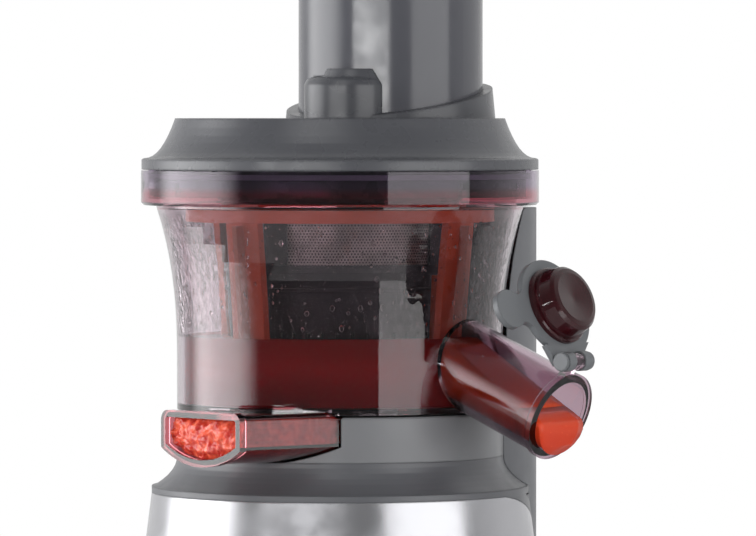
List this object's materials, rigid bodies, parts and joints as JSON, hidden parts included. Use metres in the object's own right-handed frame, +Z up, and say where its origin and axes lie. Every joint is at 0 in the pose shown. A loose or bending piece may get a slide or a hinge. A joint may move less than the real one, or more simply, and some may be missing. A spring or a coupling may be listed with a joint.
{
  "type": "cold press juicer",
  "caption": "Upright cold press juicer with motor base, rear column, clear juicing bowl with capped spout and pulp chute, twist-on lid with feed tube and pusher.",
  "frame": {"origin": "on the auger axis, at the counter under the middle of the ring foot", "axes": "+Z up along the auger, -Y to the front, +X towards the juice spout"},
  "size_m": [0.2007, 0.1894, 0.4221],
  "materials": {
    "silver_shell": "silver satin paint",
    "grey_shell": "satin moulded",
    "lid_grey": "satin moulded",
    "light_grey": "satin moulded",
    "dark_plastic": "fine texture",
    "rubber_foot": "matt",
    "steel": "machined",
    "motor_paint": "black enamel",
    "board_green": "solder mask",
    "gearbox_alloy": "die cast",
    "bush_bronze": "sintered",
    "gear_white": "machined acetal",
    "smoky_clear": "smoky transparent",
    "plug_clear": "dark red transparent",
    "seal_silicone": "silicone",
    "black_plastic": "satin glass filled",
    "screen_steel": "etched perforated",
    "brush_red": "satin",
    "wiper_silicone": "silicone"
  },
  "bodies": {
    "base": {"front_housing": "silver_shell", "rear_housing": "grey_shell", "top_shoulder": "grey_shell", "bowl_seat": "light_grey", "bottom_plate": "dark_plastic", "ring_foot": "rubber_foot", "base_screws": "steel", "cord_gland": "dark_plastic", "control_board": "board_green", "switch_body": "dark_plastic", "interlock_switch": "dark_plastic", "motor": "motor_paint", "motor_screws": "steel", "gearbox_housing": "gearbox_alloy", "gearbox_cover": "gearbox_alloy", "gearbox_screws": "steel", "output_bearings": "steel", "layshaft_bushes": "bush_bronze"},
    "control_knob": {"control_knob": "grey_shell"},
    "motor_rotor": {"motor_shaft": "steel", "motor_fan": "dark_plastic"},
    "layshaft_unit": {"layshaft": "steel", "lay_gear": "gear_white"},
    "output_drive": {"output_gear": "gear_white", "output_shaft": "steel"},
    "bowl_unit": {"bowl": "smoky_clear", "juice_spout": "smoky_clear", "pulp_chute": "smoky_clear", "shaft_seal": "seal_silicone", "idler_pin": "steel", "strainer_frame": "black_plastic", "strainer_screen": "screen_steel"},
    "idler": {"idler_gear": "gear_white"},
    "brush": {"brush_frame": "brush_red", "brush_wipers": "wiper_silicone"},
    "auger": {"auger_screw": "black_plastic", "auger_gear": "gear_white", "auger_socket": "steel"},
    "lid": {"lid_cover": "lid_grey", "feed_tube": "lid_grey", "lid_seal": "seal_silicone", "lid_bushing": "gear_white"},
    "pusher": {"pusher": "light_grey"},
    "spout_cap": {"cap_lever": "light_grey", "cap_plug": "plug_clear", "cap_pin": "light_grey"}
  },
  "joints": [
    {"name": "auger_spin", "type": "hinge", "parent": "bowl_unit", "child": "auger", "pos_m": [0, 0, 0.2], "axis": [0, 0, 1], "continuous": true},
    {"name": "brush_spin", "type": "hinge", "parent": "bowl_unit", "child": "brush", "pos_m": [0, 0, 0.2], "axis": [0, 0, 1], "continuous": true},
    {"name": "idler_spin", "type": "hinge", "parent": "bowl_unit", "child": "idler", "pos_m": [-0.01591, 0.01591, 0.19], "axis": [0, 0, 1], "continuous": true},
    {"name": "output_spin", "type": "hinge", "parent": "base", "child": "output_drive", "pos_m": [0, 0, 0.13], "axis": [0, 0, 1], "continuous": true},
    {"name": "layshaft_spin", "type": "hinge", "parent": "base", "child": "layshaft_unit", "pos_m": [0, 0.036, 0.11], "axis": [0, 0, 1], "continuous": true},
    {"name": "motor_spin", "type": "hinge", "parent": "base", "child": "motor_rotor", "pos_m": [0, 0, 0.06], "axis": [0, 0, 1], "continuous": true},
    {"name": "bowl_lift", "type": "slide", "parent": "base", "child": "bowl_unit", "axis": [0, 0, 1], "range_m": [0, 0.08]},
    {"name": "lid_twist", "type": "hinge", "parent": "bowl_unit", "child": "lid", "pos_m": [0, 0, 0.28], "axis": [0, 0, 1], "range_deg": [0, 30]},
    {"name": "pusher_slide", "type": "slide", "parent": "lid", "child": "pusher", "axis": [0, 0, 1], "range_m": [0, 0.11]},
    {"name": "cap_swing", "type": "hinge", "parent": "bowl_unit", "child": "spout_cap", "pos_m": [0.11419, 0, 0.20387], "axis": [0, 1, 0], "range_deg": [0, 225]},
    {"name": "knob_turn", "type": "hinge", "parent": "base", "child": "control_knob", "pos_m": [0, -0.085, 0.072], "axis": [0, 1, 0], "range_deg": [-40, 40]}
  ],
  "couplings": [
    {"joint": "brush_spin", "follows": "auger_spin", "ratio": -0.5},
    {"joint": "idler_spin", "follows": "auger_spin", "ratio": -2},
    {"joint": "output_spin", "follows": "auger_spin", "ratio": 1},
    {"joint": "layshaft_spin", "follows": "auger_spin", "ratio": -5},
    {"joint": "motor_spin", "follows": "auger_spin", "ratio": 25}
  ]
}
